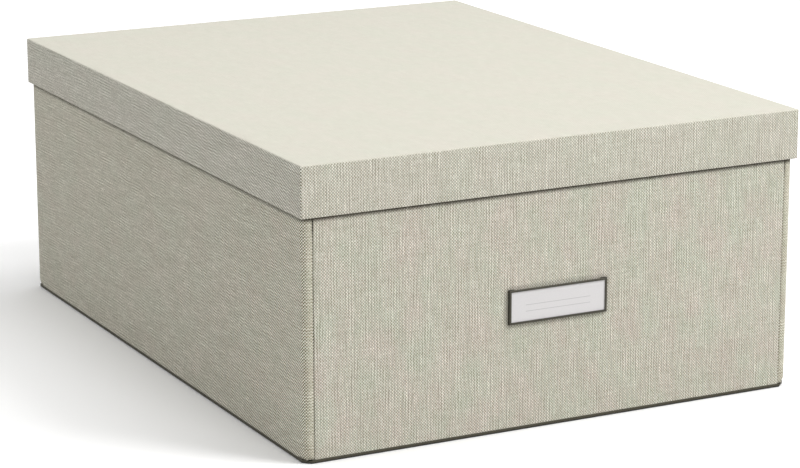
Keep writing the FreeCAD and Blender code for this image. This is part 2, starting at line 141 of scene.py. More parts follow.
grey_board, tree, shader = new_finish("grey fibreboard", 0.9, Specular_IOR_Level=0.25)
place = object_place(tree)
pulp = mottle(tree, place, 260.0, 4.0, 0.65)
flecks = spread(tree, mottle(tree, place, 900.0, 2.0), 0.62, 0.7)
board_tone = mixed(tree, spread(tree, pulp, 0.35, 0.65), colour(146, 139, 127), colour(172, 165, 152))
board_tone = mixed(tree, flecks, board_tone, colour(108, 101, 92))
height_up = shade(tree, "SeparateXYZ", {0: place}).outputs[2]
# Painted shade in the corner notches: the board's lowest 2.5 mm or so is darkened.
notch_shade = spread(tree, height_up, 0.0024, 0.0028, 1.0, 0.0)
tree.links.new(mixed(tree, notch_shade, board_tone, colour(26, 24, 18)), shader.inputs["Base Color"])
set_relief(tree, shader, pulp, 0.00008)
TRAY_BOARDS = ["base_board", "front_wall_board", "rear_wall_board", "left_wall_board", "right_wall_board"]
FLAP_BOARDS = [
    "left_front_flap_board", "left_rear_flap_board",
    "right_front_flap_board", "right_rear_flap_board",
]
paint(grey_board, *TRAY_BOARDS, *FLAP_BOARDS)

# Liners. Uncoated paper is glued over the floor and the inner faces of the walls and flaps.
# It is a warm off-white with a faint laid texture and a little unevenness from the glue under it.

lining_paper, tree, shader = new_finish("lining paper", 0.85, Specular_IOR_Level=0.3)
place = object_place(tree)
laid = mottle(tree, stretched(tree, place, (500, 500, 120)), 1.0, 3.0, 0.6)
glue = mottle(tree, place, 18.0, 3.0)
paper_tone = mixed(tree, spread(tree, glue, 0.3, 0.7), colour(214, 208, 194), colour(224, 219, 206))
specks = spread(tree, mottle(tree, place, 1400.0, 1.0), 0.7, 0.76, 0.0, 0.5)
tree.links.new(mixed(tree, specks, paper_tone, colour(176, 166, 148)), shader.inputs["Base Color"])
relief_height = maths(tree, "ADD", laid, maths(tree, "MULTIPLY", glue, 2.0))
set_relief(tree, shader, relief_height, 0.00006)
WALL_LINERS = ["front_wall_liner", "rear_wall_liner", "left_side_liner", "right_side_liner"]
paint(lining_paper, "floor_liner", *WALL_LINERS)

# Side covers. Each is one strip of plain-woven canvas glued round a side wall and on round both corners
# to the flaps, with its slubby yarns running along the strip, and turned in over the top edge.


SWAY_FINE, SWAY_REACH = 38.0, 0.0016
YARN_GAP = 0.2
PICK_GAP = 0.1
YARN_CHANGES, PICK_CHANGES = 0.02, 0.012
YARN_SEED, PICK_SEED, SLUB_SEED = 1.7, 5.3, 9.1
STREAK_RANGE, SLUB_RANGE, PATCH_RANGE = (0.28, 0.72), (0.55, 0.75), (0.36, 0.64)
YARN_TONE = (0.4, 0.9)
PICK_TONE = (0.25, 0.75)
CROSSING_SHOWS = 0.45
PAIR_SHOWS = (-0.12, 0.3)
PAIRING_FINE = (180, 45, 1)
KNOT_VARIES = 0.2
SLUB_LIGHT = 0.15
SLUB_LONG = 0.012
THREAD_TONES = (0.5, 1.02)
THREAD_RELIEF = 0.00005
PATCHES_FINE, CLOUDS_FINE = (42, 26, 1), (160, 90, 1)
CLOUD_TONES = (0.96, 1.04)
MEAN_GREY, EVEN_SHARE = 0.69, 0.85
FLAT_RANGE, FLAT_CALM = (0.3, 0.95), 0.15
RAKING_RANGE, RAKING_SHOWS = (-0.95, -0.3), 3.0
# Painted crease shade: how far it reaches, how it is shared out by height, and its tone.
CREASE_REACH = 0.0035
CREASE_SHARES = (0.8, 1.0)
CREASE_HEIGHTS, CREASE_OPEN = (0.138, 0.147), 0.8
CREASE_SHADE = colour(74, 68, 56)


def woven(name, pitch, green_side, pink_side, tint):
    """Plain-woven cloth with pink and green patches. The map called threads is in metres: its V runs along
    the slubby yarns."""
    finish, tree, shader = new_finish(
        name, 0.9, Specular_IOR_Level=0.3, Sheen_Weight=0.15, Sheen_Roughness=0.5
    )
    flat = shade(tree, "UVMap", uv_map="threads").outputs[0]
    wander = shade(tree, "TexNoise", {"Vector": flat, "Scale": SWAY_FINE, "Detail": 2.0}).outputs["Color"]
    sway = shade(tree, "VectorMath", {0: wander, 1: (0.5, 0.5, 0.5)}, operation="SUBTRACT").outputs[0]
    reach = (SWAY_REACH, SWAY_REACH, 0.0)
    bent = shade(tree, "VectorMath", {0: sway, 1: reach, 2: flat}, operation="MULTIPLY_ADD")
    split = shade(tree, "SeparateXYZ", {0: bent.outputs[0]})
    across = maths(tree, "DIVIDE", split.outputs[0], pitch)
    along = maths(tree, "DIVIDE", split.outputs[1], pitch)
    yarn, pick = maths(tree, "FLOOR", across), maths(tree, "FLOOR", along)
    yarn_wave = maths(tree, "SINE", maths(tree, "MULTIPLY", across, math.pi))
    pick_wave = maths(tree, "SINE", maths(tree, "MULTIPLY", along, math.pi))
    crossing = maths(tree, "MULTIPLY", yarn_wave, pick_wave)
    # The weave's shading is painted into the colour. Cloth that faces up is lit down into its gaps, so its
    # painted weave shows less. The left side shows more of it, because the light comes from the right and
    # only rakes along that side.
    facing = shade(tree, "SeparateXYZ", {0: shade(tree, "NewGeometry").outputs["True Normal"]})
    showing = spread(tree, maths(tree, "ABSOLUTE", facing.outputs[2]), *FLAT_RANGE, 1.0, FLAT_CALM)
    raking = spread(tree, facing.outputs[0], *RAKING_RANGE, RAKING_SHOWS, 1.0)

    def between(share, first, second):
        return shade(tree, "Mix", {0: share, 2: first, 3: second}).outputs[0]

    def gap(wave, darkness):
        """How much light comes out from beside a thread: less towards its edges."""
        edge = maths(tree, "SUBTRACT", 1.0, maths(tree, "ABSOLUTE", wave))
        lost = maths(tree, "MULTIPLY", maths(tree, "MULTIPLY", edge, showing), darkness)
        return maths(tree, "SUBTRACT", 1.0, lost)

    def streaks(first, second, length, seed):
        """Slow changes along each thread, each thread for itself."""
        numbers = {0: maths(tree, "MULTIPLY", first, 7.31), 1: maths(tree, "DIVIDE", second, length), 2: seed}
        place = shade(tree, "CombineXYZ", numbers).outputs[0]
        return shade(tree, "TexNoise", {"Vector": place, "Scale": 1.0, "Detail": 2.0}).outputs["Fac"]

    yarn_changes = streaks(yarn, split.outputs[1], YARN_CHANGES, YARN_SEED)
    yarn_tone = spread(tree, yarn_changes, *STREAK_RANGE, *YARN_TONE)
    pick_changes = streaks(pick, split.outputs[0], PICK_CHANGES, PICK_SEED)
    pick_tone = spread(tree, pick_changes, *STREAK_RANGE, *PICK_TONE)
    slub = spread(tree, streaks(yarn, split.outputs[1], SLUB_LONG, SLUB_SEED), *SLUB_RANGE)
    pairing = spread(tree, mottle(tree, stretched(tree, flat, PAIRING_FINE), 1.0), 0.35, 0.65, *PAIR_SHOWS)
    pair_wave = maths(tree, "COSINE", maths(tree, "MULTIPLY", across, math.pi))
    pair_wave = maths(tree, "MULTIPLY", pair_wave, pairing)
    over = spread(tree, crossing, -0.7, 0.7)
    tone = between(showing, 0.5, between(over, pick_tone, yarn_tone))
    spot = shade(tree, "CombineXYZ", {0: yarn, 1: pick}).outputs[0]
    chance = shade(tree, "TexWhiteNoise", {"Vector": spot}, noise_dimensions="2D").outputs["Value"]
    knot = maths(tree, "MULTIPLY", maths(tree, "SUBTRACT", chance, 0.5), KNOT_VARIES)
    knot = maths(tree, "MULTIPLY_ADD", crossing, maths(tree, "MULTIPLY", raking, CROSSING_SHOWS), knot)
    knot = maths(tree, "MULTIPLY", maths(tree, "ADD", pair_wave, knot), showing)
    patches = mottle(tree, stretched(tree, flat, PATCHES_FINE), 1.0, 3.0, 0.6)
    patch_share = spread(tree, patches, *PATCH_RANGE, 0.5 - tint / 2, 0.5 + tint / 2)
    hue = mixed(tree, patch_share, green_side, pink_side)
    clouds = mottle(tree, stretched(tree, flat, CLOUDS_FINE), 1.0, 4.0, 0.7)
    lightness = spread(tree, tone, 0.0, 1.0, *THREAD_TONES)
    lightness = maths(tree, "MULTIPLY", lightness, spread(tree, clouds, 0.25, 0.75, *CLOUD_TONES))
    lightness = maths(tree, "MULTIPLY_ADD", maths(tree, "MULTIPLY", slub, showing), SLUB_LIGHT, lightness)
    lightness = maths(tree, "MULTIPLY", lightness, maths(tree, "ADD", knot, 1.0))
    lightness = maths(tree, "MULTIPLY", lightness, gap(yarn_wave, YARN_GAP))
    lightness = maths(tree, "MULTIPLY", lightness, gap(pick_wave, PICK_GAP))
    # Dark and light threads differ less in hue than in lightness.
    even_hue = mixed(tree, EVEN_SHARE, hue, (MEAN_GREY, MEAN_GREY, MEAN_GREY, 1.0))
    rest = shade(tree, "VectorMath", {0: hue, 1: even_hue}, operation="SUBTRACT").outputs[0]
    rest = shade(tree, "VectorMath", {0: rest, 3: sum(THREAD_TONES) / 2}, operation="SCALE").outputs[0]
    tones = {0: even_hue, 1: lightness, 2: rest}
    cloth_tone = shade(tree, "VectorMath", tones, operation="MULTIPLY_ADD").outputs[0]
    # Painted shade: just under the lid's rim, and wherever other parts lie within a few millimetres, the
    # cloth's colour is darkened. Lower down it is darkened at most a fifth as much.
    crease = shade(tree, "AmbientOcclusion", {"Distance": CREASE_REACH}, samples=6).outputs["AO"]
    height_up = shade(tree, "SeparateXYZ", {0: object_place(tree)}).outputs[2]
    open_below = spread(tree, height_up, *CREASE_HEIGHTS, CREASE_OPEN, 0.0)
    open_share = maths(tree, "MAXIMUM", spread(tree, crease, *CREASE_SHARES), open_below)
    crease_shade = mixed(tree, open_share, CREASE_SHADE, (1.0, 1.0, 1.0, 1.0))
    final = shade(tree, "VectorMath", {0: cloth_tone, 1: crease_shade}, operation="MULTIPLY").outputs[0]
    tree.links.new(final, shader.inputs["Base Color"])
    height = maths(tree, "MULTIPLY_ADD", slub, 0.4, maths(tree, "ABSOLUTE", crossing))
    set_relief(tree, shader, height, THREAD_RELIEF)
    return finish


def sheet_mesh(name, faces, finish, thickness):
    """A sheet of cloth from its faces, each a list of corners with a place and a place on the flat cloth."""
    corners, order, loops = {}, [], []
    mesh_faces = []
    for face in faces:
        ring, flat = [], []
        for place, on_cloth in face:
            key = tuple(round(value * 1e6) for value in place)
            if key not in corners:
                corners[key] = len(order)
                order.append(place)
            if corners[key] not in ring:
                ring.append(corners[key])
                flat.append(on_cloth)
        if len(ring) > 2:
            mesh_faces.append(ring)
            loops.extend(flat)
    mesh = bpy.data.meshes.new(name)
    mesh.from_pydata(order, [], mesh_faces)
    layer = mesh.uv_layers.new(name="threads")
    layer.data.foreach_set("uv", [value for pair in loops for value in pair])
    mesh.materials.append(finish)
    mesh.shade_smooth()
    piece = bpy.data.objects.new(name, mesh)
    bpy.context.scene.collection.objects.link(piece)
    wall = piece.modifiers.new("cloth", "SOLIDIFY")
    wall.thickness = thickness
    wall.offset = -1.0
    return piece


def running_length(points):
    """The length along a line up to each of its points."""
    lengths = [0.0]
    for first, second in zip(points, points[1:]):
        lengths.append(lengths[-1] + math.dist(first, second))
    return lengths


def even_line(points, spacing):
    """The same line with its long stretches divided."""
    made = [points[0]]
    for first, second in zip(points, points[1:]):
        count = max(1, math.ceil((second - first).length / spacing))
        made.extend(first.lerp(second, step / count) for step in range(1, count + 1))
    return made


CLOTH = 0.0003
THREAD = 0.00095
side_cloth = woven("canvas of the sides", THREAD, colour(217, 217, 197), colour(223, 215, 198), 0.5)
BOARD_AND_CLOTH = 0.0024
side_low, side_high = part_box("left_side_cover")
SIDE_LOW, SIDE_HIGH = side_low[2], side_high[2]
FOLD_FACE, SIDE_FACE = side_high[1], -side_low[0]
FLAP_END = -side_high[0]
panel_low, panel_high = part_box("front_cover")
PANEL_HALF, PANEL_TOP, PANEL_LOW, PANEL_FACE = panel_high[0], panel_high[2], panel_low[2], -panel_low[1]
TURNED_IN = 0.012
FOLD_ROUND, FOLD_STEPS = 0.0044, 8
GROOVE_EDGE = 0.00015
GROOVE_LEFT, GROOVE_RIGHT = 0.0002, 0.00004
FOLD_BACK = 0.0003
FOLD_LEVEL = PANEL_FACE - FOLD_BACK
TAPER_TOP, TAPER, TAPER_WIDTH, TAPER_CURVE = 0.006, 0.0014, 0.009, 1.5
TAPER_ROWS = (0.0035, 0.0045, 0.0053)
LOW_EDGE, CLOTH_STEP, SIDE_ROWS, EDGE_STEPS = 0.0003, 0.008, 22, 5
SWELL_FINE, SWELL = 24, 0.00009


def cloth_swell(x, y, z, reach=SWELL):
    """How far glued cloth stands off flat board here: a slow unevenness of a tenth of a millimetre."""
    return noise.noise(Vector((x * SWELL_FINE + 3.1, y * SWELL_FINE - 7.7, z * SWELL_FINE + 1.3))) * reach


def side_cover(name, side, groove):
    """side is -1 for the left strip and 1 for the right one. groove is the gap beside the end panels."""
    fold_end = PANEL_HALF + groove
    front = [(-FLAP_END, -FOLD_FACE), (-fold_end, -FOLD_FACE), (-fold_end, -(FOLD_LEVEL - GROOVE_EDGE))]
    front.append((-(fold_end + GROOVE_EDGE), -FOLD_LEVEL))
    for step in range(FOLD_STEPS + 1):
        turn = math.pi / 2 * step / FOLD_STEPS
        out, on = FOLD_ROUND * (1 - math.cos(turn)), FOLD_ROUND * (1 - math.sin(turn))
        front.append((-(SIDE_FACE - on), -(FOLD_LEVEL - out)))
    plan = [Vector((x, y, 0)) for x, y in front + [(x, -y) for x, y in reversed(front)]]
    line = even_line(plan, CLOTH_STEP)
    lengths = running_length(line)
    # The profile gives how deep the cloth lies behind its outer face, and its height.
    edge = 0.0007
    profile = [(0, height) for height in (SIDE_LOW, SIDE_LOW + LOW_EDGE, *TAPER_ROWS, TAPER_TOP)]
    straight = SIDE_HIGH - edge - TAPER_TOP
    profile += [(0, TAPER_TOP + straight * step / SIDE_ROWS) for step in range(1, SIDE_ROWS + 1)]
    for step in range(1, EDGE_STEPS + 1):
        turn = math.pi / 2 * step / EDGE_STEPS
        profile.append((edge * (1 - math.cos(turn)), SIDE_HIGH - edge * (1 - math.sin(turn))))
    for step in range(EDGE_STEPS + 1):
        turn = math.pi / 2 * step / EDGE_STEPS
        depth = BOARD_AND_CLOTH - edge * (1 - math.sin(turn))
        profile.append((depth, SIDE_HIGH - edge * (1 - math.cos(turn))))
    profile += [(BOARD_AND_CLOTH, SIDE_HIGH - TURNED_IN * step / 3) for step in (1, 2, 3)]
    heights = running_length([(depth, height, 0) for depth, height in profile])

    def spot(index, depth, height):
        outer = line[index]
        back_x, back_y = SIDE_FACE - BOARD_AND_CLOTH, FOLD_FACE - BOARD_AND_CLOTH
        inner = Vector((max(outer.x, -back_x), max(-back_y, min(back_y, outer.y)), 0))
        place = outer.lerp(inner, depth / BOARD_AND_CLOTH)
        if depth == 0 and height > SIDE_LOW and abs(outer.x) > fold_end:
            outward = (outer - inner).normalized()
            place += outward * cloth_swell(outer.x, outer.y, height)
        if height < TAPER_TOP:
            away = math.hypot(abs(outer.x) - SIDE_FACE, abs(outer.y) - FOLD_LEVEL)
            lowness = ((TAPER_TOP - height) / (TAPER_TOP - SIDE_LOW)) ** TAPER_CURVE
            pull = max(0.0, 1.0 - away / TAPER_WIDTH) * lowness
            place += Vector((-math.copysign(TAPER, outer.x), -math.copysign(TAPER, outer.y), 0)) * pull
        return (-side * place.x, place.y, height)

    faces = []
    for index in range(len(line) - 1):
        for row in range(len(profile) - 1):
            ring = []
            for along, up in ((index, row), (index + 1, row), (index + 1, row + 1), (index, row + 1)):
                ring.append((spot(along, *profile[up]), (heights[up], lengths[along])))
            faces.append(ring if side > 0 else ring[::-1])
    return sheet_mesh(name, faces, side_cloth, CLOTH)


# The right strip is folded tighter against the end panels than the left one.
for name, side, groove in (("left_side_canvas", -1, GROOVE_LEFT), ("right_side_canvas", 1, GROOVE_RIGHT)):
    strip = side_cover(name, side, groove)
    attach(strip, "tray")
    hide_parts(name.replace("canvas", "cover"))

# Front and rear covers. A panel of the same canvas is drawn over each end wall, round its side and top
# edges, and glued down behind, with its slubby yarns upright.

PANEL_ROUND, PANEL_BACK_ROUND = 0.0008, 0.0006
PANEL_COLUMNS, PANEL_ROWS, GLUED_ROW = 44, 24, 0.005
end_cloth = woven("canvas of the ends", THREAD, colour(217, 218, 201), colour(223, 215, 202), 1.0)


def end_cover(name, end):
    """end is -1 for the front panel and 1 for the rear one."""
    flat_half, flat_top = PANEL_HALF - PANEL_ROUND, PANEL_TOP - PANEL_ROUND
    profile = [(PANEL_ROUND, 0.0)]
    for step in range(1, EDGE_STEPS + 1):
        turn = math.pi / 2 * step / EDGE_STEPS
        profile.append((PANEL_ROUND * (1 - math.sin(turn)), PANEL_ROUND * (1 - math.cos(turn))))
    for step in range(EDGE_STEPS + 1):
        turn = math.pi / 2 * step / EDGE_STEPS
        depth = BOARD_AND_CLOTH - PANEL_BACK_ROUND * (1 - math.sin(turn))
        profile.append((PANEL_BACK_ROUND * (1 - math.cos(turn)), depth))
    profile += [(GLUED_ROW, BOARD_AND_CLOTH), (TURNED_IN, BOARD_AND_CLOTH)]
    lengths = running_length([(inset, depth, 0) for inset, depth in profile])

    def place(x, depth, z):
        swell = cloth_swell(x, end, z) if depth == 0 else 0.0
        return (x, end * (PANEL_FACE - depth + swell), z)

    def corner(x, depth, z, u, v):
        return (place(x, depth, z), (u, v))

    faces = []
    grid_x = [flat_half * (2 * column / PANEL_COLUMNS - 1) for column in range(PANEL_COLUMNS + 1)]
    grid_z = [PANEL_LOW + (flat_top - PANEL_LOW) * row / PANEL_ROWS for row in range(PANEL_ROWS + 1)]
    grid_z.insert(1, PANEL_LOW + LOW_EDGE)
    for left, right in zip(grid_x, grid_x[1:]):
        for low, high in zip(grid_z, grid_z[1:]):
            ends = ((left, low), (right, low), (right, high), (left, high))
            faces.append([corner(x, 0.0, z, x, z) for x, z in ends])
    strips = zip(profile, profile[1:], lengths, lengths[1:])
    for (inset, depth), (next_inset, next_depth), run, next_run in strips:
        for low, high in zip(grid_z, grid_z[1:]):
            for hand in (-1, 1):
                ring = []
                for move, back, gone, z in (
                    (inset, depth, run, low), (next_inset, next_depth, next_run, low),
                    (next_inset, next_depth, next_run, high), (inset, depth, run, high),
                ):
                    up = PANEL_TOP - move if z == flat_top else z
                    ring.append(corner(hand * (PANEL_HALF - move), back, up, hand * (flat_half + gone), z))
                faces.append(ring if hand > 0 else ring[::-1])
        for left, right in zip(grid_x, grid_x[1:]):
            ring = []
            for move, back, gone, x in (
                (inset, depth, run, left), (inset, depth, run, right),
                (next_inset, next_depth, next_run, right), (next_inset, next_depth, next_run, left),
            ):
                over = math.copysign(PANEL_HALF - move, x) if abs(x) == flat_half else x
                ring.append(corner(over, back, PANEL_TOP - move, x, flat_top + gone))
            faces.append(ring)
    if end > 0:
        faces = [ring[::-1] for ring in faces]
    return sheet_mesh(name, faces, end_cloth, CLOTH)


for name, end in (("front_canvas", -1), ("rear_canvas", 1)):
    panel = end_cover(name, end)
    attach(panel, "tray")
    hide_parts(name.replace("canvas", "cover"))

# Press studs. Nickel-plated steel caps, springs and posts hold the corner flaps to the end walls.
# The posts and springs are hidden; the domed caps show inside the tray.

nickel, tree, shader = new_finish("nickel plate", 0.28, Metallic=1.0)
place = object_place(tree)
haze = mottle(tree, place, 420.0, 3.0)
tree.links.new(mixed(tree, haze, colour(186, 184, 178), colour(204, 202, 196)), shader.inputs["Base Color"])
tree.links.new(spread(tree, haze, 0.3, 0.7, 0.22, 0.38), shader.inputs["Roughness"])
paint(nickel, "snap_caps", "snap_springs", "snap_posts")
CAP_RADIUS, CAP_RISE, CAP_TILT = 0.0065, 0.0012, 0.012
CAP_SEED = 4
CAP_SIDES, CAP_RINGS, CAP_PLATE = 48, 12, 0.001
CAP_SLOPE, CAP_EDGE, CAP_EDGE_SHARP = 0.2, 0.5, 12.0


def cap_nodes():
    """Sets a domed cap on each point, its dome towards the middle of the box, a touch askew."""
    group = bpy.data.node_groups.new("stud caps", "GeometryNodeTree")
    sockets = {"Spots": "Geometry", "Radius": "Float", "Rise": "Float", "Tilt": "Float", "Seed": "Int"}
    for name, kind in sockets.items():
        group.interface.new_socket(name, in_out="INPUT", socket_type="NodeSocket" + kind)
    group.interface.new_socket("Caps", in_out="OUTPUT", socket_type="NodeSocketGeometry")

    def add(kind, inputs=None, **settings):
        made = group.nodes.new(kind)
        for name, value in settings.items():
            setattr(made, name, value)
        for name, value in (inputs or {}).items():
            if isinstance(value, bpy.types.NodeSocket):
                group.links.new(value, made.inputs[name])
            else:
                made.inputs[name].default_value = value
        return made

    def figure(operation, *values):
        return add("ShaderNodeMath", dict(enumerate(values)), operation=operation).outputs[0]

    given = add("NodeGroupInput").outputs
    plate = {"Vertices": CAP_SIDES, "Fill Segments": CAP_RINGS, "Radius": given["Radius"], "Depth": CAP_PLATE}
    blank = add("GeometryNodeMeshCylinder", plate)
    blank.fill_type = "TRIANGLE_FAN"
    place = add("GeometryNodeInputPosition").outputs[0]
    split = add("ShaderNodeSeparateXYZ", {0: place}).outputs
    out = figure("SQRT", figure("ADD", figure("POWER", split[0], 2.0), figure("POWER", split[1], 2.0)))
    share = figure("DIVIDE", out, given["Radius"])
    dome = figure("SUBTRACT", 1.0, figure("MULTIPLY", figure("POWER", share, 2.0), CAP_SLOPE))
    dome = figure("SUBTRACT", dome, figure("MULTIPLY", figure("POWER", share, CAP_EDGE_SHARP), CAP_EDGE))
    upper = figure("GREATER_THAN", split[2], 0.0)
    height = figure("MULTIPLY", figure("MULTIPLY", dome, given["Rise"]), upper)
    shaped = add("ShaderNodeCombineXYZ", {0: split[0], 1: split[1], 2: height}).outputs[0]
    cap = add("GeometryNodeSetPosition", {"Geometry": blank.outputs["Mesh"], "Position": shaped}).outputs[0]
    spots = add("GeometryNodeMeshToPoints", {"Mesh": given["Spots"]}).outputs[0]
    end = add("ShaderNodeSeparateXYZ", {0: add("GeometryNodeInputPosition").outputs[0]}).outputs[1]
    upright = figure("MULTIPLY", figure("SIGN", end), math.pi / 2)
    lean = add("FunctionNodeRandomValue", {"Seed": given["Seed"]}, data_type="FLOAT")
    lean = figure("MULTIPLY", figure("SUBTRACT", lean.outputs["Value"], 0.5), given["Tilt"])
    euler = add("ShaderNodeCombineXYZ", {0: figure("ADD", upright, lean), 2: lean}).outputs[0]
    turn = add("FunctionNodeEulerToRotation", {0: euler}).outputs[0]
    setting = {"Points": spots, "Instance": cap, "Rotation": turn}
    placed = add("GeometryNodeInstanceOnPoints", setting).outputs[0]
    whole = add("GeometryNodeRealizeInstances", {"Geometry": placed}).outputs[0]
    smooth = add("GeometryNodeSetShadeSmooth", {"Geometry": whole}).outputs[0]
    plated = add("GeometryNodeSetMaterial", {"Geometry": smooth, "Material": nickel}).outputs[0]
    add("NodeGroupOutput", {"Caps": plated})
    return group


def stud_caps():
    caps = nodes["snap_caps"]
    caps_low, caps_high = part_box("snap_caps")
    seat = min(abs((caps.matrix_world @ corner.co).y) for corner in caps.data.vertices) + CAP_RISE
    across = (caps_low[0] + CAP_RADIUS, caps_high[0] - CAP_RADIUS)
    heights = (caps_low[2] + CAP_RADIUS, caps_high[2] - CAP_RADIUS)
    spots = bpy.data.meshes.new("stud spots")
    spots.from_pydata([(x, y, z) for x in across for y in (-seat, seat) for z in heights], [], [])
    made = bpy.data.objects.new("stud_caps", spots)
    bpy.context.scene.collection.objects.link(made)
    setter = made.modifiers.new("caps", "NODES")
    group = cap_nodes()
    values = {"Radius": CAP_RADIUS, "Rise": CAP_RISE, "Tilt": CAP_TILT, "Seed": CAP_SEED}
    for socket in group.interface.items_tree:
        if socket.name in values:
            socket.default_value = values[socket.name]
    setter.node_group = group
    for socket in group.interface.items_tree:
        if socket.name in values:
            setter[socket.identifier] = values[socket.name]
    whole = bpy.data.meshes.new_from_object(made.evaluated_get(bpy.context.evaluated_depsgraph_get()))
    made.modifiers.clear()
    made.data = whole
    return made


caps = stud_caps()
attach(caps, "tray")
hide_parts("snap_caps")

# Label frame. Sheet steel is folded into a channel round three sides, plated dark pewter, and its two
# prongs are clenched through the front wall. The plating is a little cloudy and finely grained.

pewter, tree, shader = new_finish("dark pewter plate", 0.4, Metallic=0.85)
place = object_place(tree)
cloud = mottle(tree, place, 300.0, 3.0)
tree.links.new(mixed(tree, cloud, colour(60, 58, 51), colour(78, 76, 68)), shader.inputs["Base Color"])
tree.links.new(spread(tree, cloud, 0.3, 0.7, 0.34, 0.5), shader.inputs["Roughness"])
set_relief(tree, shader, mottle(tree, place, 1500.0, 2.0), 0.00002)
paint(pewter, "label_frame")

# Label card. A loose piece of smooth white card, plain but for two faint grey lines to write on.
# It slides down into the label frame from above.

card_paper, tree, shader = new_finish("white card", 0.55, Specular_IOR_Level=0.4)
place = object_place(tree)
tooth = mottle(tree, place, 1100.0, 3.0, 0.6)
card_tone = mixed(tree, tooth, colour(213, 211, 212), colour(223, 221, 222))
on_card = shade(tree, "SeparateXYZ", {0: place})
RULE_HEIGHTS, RULE_HALF, RULE_WIDTH, RULE_INK = (0.0805, 0.0765), 0.023, 0.00035, 0.5
ruled = 0.0
for height in RULE_HEIGHTS:
    off_line = maths(tree, "ABSOLUTE", maths(tree, "SUBTRACT", on_card.outputs[2], height))
    ruled = maths(tree, "ADD", ruled, maths(tree, "LESS_THAN", off_line, RULE_WIDTH / 2))
inside = maths(tree, "LESS_THAN", maths(tree, "ABSOLUTE", on_card.outputs[0]), RULE_HALF)
ink = maths(tree, "MULTIPLY", maths(tree, "MULTIPLY", ruled, inside), RULE_INK)
tree.links.new(mixed(tree, ink, card_tone, colour(150, 149, 150)), shader.inputs["Base Color"])
set_relief(tree, shader, tooth, 0.00002)
paint(card_paper, "label_card")

# Lid boards and liner. The lid's top and four rims are the same grey board, lined with the same paper.
# The liner stops where the turned-in canvas starts.

RIM_BOARDS = ["lid_front_rim_board", "lid_rear_rim_board", "lid_left_rim_board", "lid_right_rim_board"]
paint(grey_board, "lid_top_board", *RIM_BOARDS)
paint(lining_paper, "lid_liner")

# Lid cover. One sheet of canvas is drawn over the lid's top and down its four rims, then turned in under
# them and glued inside. Its slubby yarns run from front to back.

lid_low, lid_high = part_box("lid_cover")
LID_HALF_X, LID_HALF_Y, LID_LOW, LID_TOP = lid_high[0], lid_high[1], lid_low[2], lid_high[2]
LID_ROUND, RIM_ROUND, RIM_THICK = 0.001, 0.0006, 0.0016
LID_COLUMNS, LID_ROWS, LID_SWELL = 44, 58, 0.00012
LID_EDGE_STEPS, RIM_ROWS, RIM_EDGE_STEPS, LID_CORNER_STEPS = 6, 5, 4, 3
lid_cloth = woven("canvas of the lid", THREAD, colour(219, 219, 203), colour(224, 218, 205), 0.5)


def lid_profile():
    """How the canvas goes from the edge of the flat top to its turned-in end, as inset and height."""
    line = [(LID_ROUND, LID_TOP)]
    for step in range(1, LID_EDGE_STEPS + 1):
        turn = math.pi / 2 * step / LID_EDGE_STEPS
        line.append((LID_ROUND * (1 - math.sin(turn)), LID_TOP - LID_ROUND * (1 - math.cos(turn))))
    rim_start, rim_end = LID_TOP - LID_ROUND, LID_LOW + RIM_ROUND
    line += [(0.0, rim_start + (rim_end - rim_start) * step / RIM_ROWS) for step in range(1, RIM_ROWS + 1)]
    for step in range(1, RIM_EDGE_STEPS + 1):
        turn = math.pi / 2 * step / RIM_EDGE_STEPS
        line.append((RIM_ROUND * (1 - math.cos(turn)), LID_LOW + RIM_ROUND * (1 - math.sin(turn))))
    for step in range(1, RIM_EDGE_STEPS + 1):
        turn = math.pi / 2 * step / RIM_EDGE_STEPS
        inset = RIM_THICK - RIM_ROUND * (1 - math.sin(turn))
        line.append((inset, LID_LOW + RIM_ROUND * (1 - math.cos(turn))))
    return line + [(RIM_THICK, LID_LOW + TURNED_IN / 2), (RIM_THICK, LID_LOW + TURNED_IN)]


